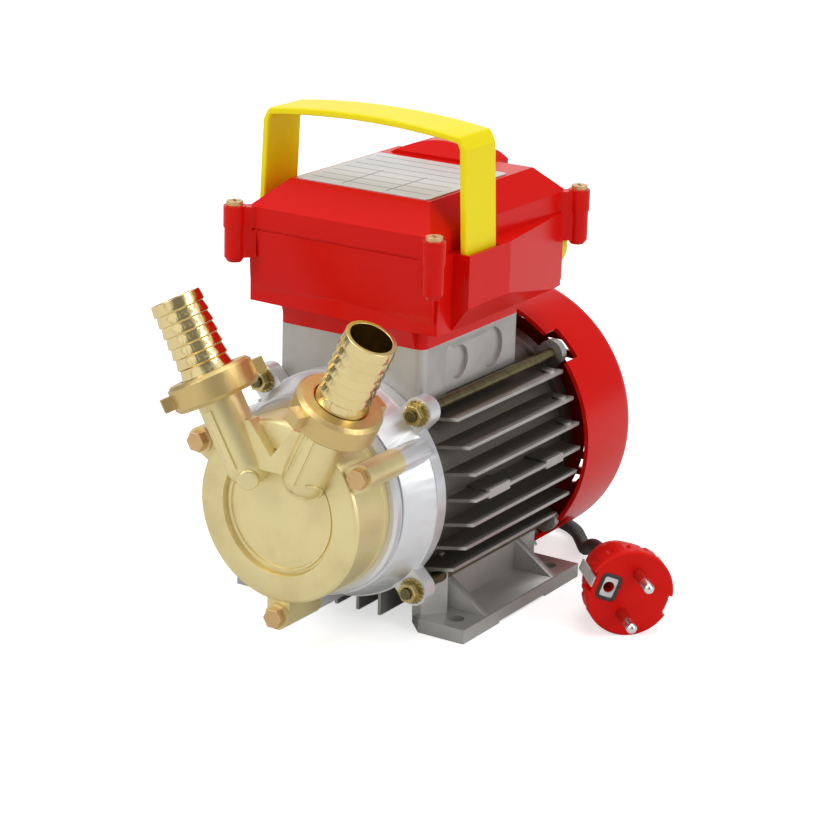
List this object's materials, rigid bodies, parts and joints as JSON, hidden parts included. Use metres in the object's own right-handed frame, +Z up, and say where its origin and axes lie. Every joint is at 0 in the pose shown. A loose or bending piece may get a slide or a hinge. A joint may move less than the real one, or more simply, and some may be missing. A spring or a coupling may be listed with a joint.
{
  "type": "transfer pump",
  "caption": "Self-priming transfer pump: finned motor with brass pump head, angled hose ports, red terminal box, strap handle, cord and mains plug.",
  "frame": {"origin": "centre of the four foot bolt holes, on the floor under the feet", "axes": "+X to the right seen from the pump end, +Y along the shaft from the pump end to the fan, +Z up"},
  "size_m": [0.2338, 0.3321, 0.222],
  "materials": {
    "housing_grey": "cast, satin",
    "bright_aluminium": "turned, bright",
    "cast_brass": "sand cast, matt",
    "bright_brass": "machined",
    "red_plastic": "gloss",
    "yellow_plastic": "gloss",
    "black_rubber": "matt",
    "black_plastic": "satin",
    "yellow_zinc_steel": "yellow zinc",
    "zinc_steel": "zinc",
    "bearing_steel": "polished",
    "lamination": "satin",
    "copper": "enamelled",
    "ceramic": "lapped",
    "carbon": "matt",
    "silver_label": "satin",
    "nickel": "nickel plated",
    "blue_wire": "insulated"
  },
  "bodies": {
    "pump_set": {"motor_housing": "housing_grey", "foot_left": "housing_grey", "foot_right": "housing_grey", "foot_screws": "zinc_steel", "front_flange": "bright_aluminium", "rear_shield": "bright_aluminium", "tie_rods": "yellow_zinc_steel", "tie_rod_nuts": "yellow_zinc_steel", "tie_rod_washers": "yellow_zinc_steel", "stator_core": "lamination", "windings": "copper", "front_bearing_outer": "bearing_steel", "rear_bearing_outer": "bearing_steel", "preload_washer": "zinc_steel", "seal_seat": "ceramic", "pump_backplate": "bright_brass", "cover_o_ring": "black_rubber", "pump_cover": "cast_brass", "cover_bolts": "bright_brass", "union_gaskets": "black_rubber", "hose_tail_left": "bright_brass", "hose_tail_right": "bright_brass", "fan_cowl": "red_plastic", "cowl_screws": "zinc_steel", "terminal_box": "red_plastic", "box_screws": "zinc_steel", "lead_grommet": "black_rubber", "lid_gasket": "black_rubber", "box_lid": "red_plastic", "lid_screws": "bright_brass", "rating_plate": "silver_label", "handle": "yellow_plastic", "capacitor": "silver_label", "terminal_block": "black_plastic", "terminal_studs": "bright_brass", "motor_leads": "blue_wire", "switch_body": "black_plastic", "cable_gland": "black_rubber", "gland_nut": "black_plastic", "supply_cord": "black_rubber", "cord_coil": "black_rubber", "cord_lead": "black_rubber", "plug_body": "red_plastic", "plug_pins": "nickel", "plug_earth": "nickel"},
    "rotor": {"shaft": "bearing_steel", "rotor_core": "lamination", "front_bearing_inner": "bearing_steel", "rear_bearing_inner": "bearing_steel", "bearing_balls": "bearing_steel", "seal_head": "carbon", "impeller": "bright_brass", "impeller_key": "zinc_steel", "cooling_fan": "black_plastic", "fan_clip": "zinc_steel"},
    "knob": {"switch_knob": "yellow_plastic"},
    "nut_left": {"union_nut_left": "cast_brass"},
    "nut_right": {"union_nut_right": "cast_brass"}
  },
  "joints": [
    {"name": "rotor_spin", "type": "hinge", "parent": "pump_set", "child": "rotor", "pos_m": [0, 0, 0.063], "axis": [0, 1, 0], "continuous": true},
    {"name": "switch_turn", "type": "hinge", "parent": "pump_set", "child": "knob", "pos_m": [0.0322, 0.0488, 0.1525], "axis": [0, 1, 0], "range_deg": [-60, 60]},
    {"name": "union_nut_left_turn", "type": "hinge", "parent": "pump_set", "child": "nut_left", "pos_m": [-0.0147, -0.1051, 0.0822], "axis": [-0.456, -0.0698, 0.8872], "range_deg": [0, 360]},
    {"name": "union_nut_right_turn", "type": "hinge", "parent": "pump_set", "child": "nut_right", "pos_m": [0.0147, -0.1051, 0.0822], "axis": [0.456, -0.0698, 0.8872], "range_deg": [0, 360]}
  ]
}
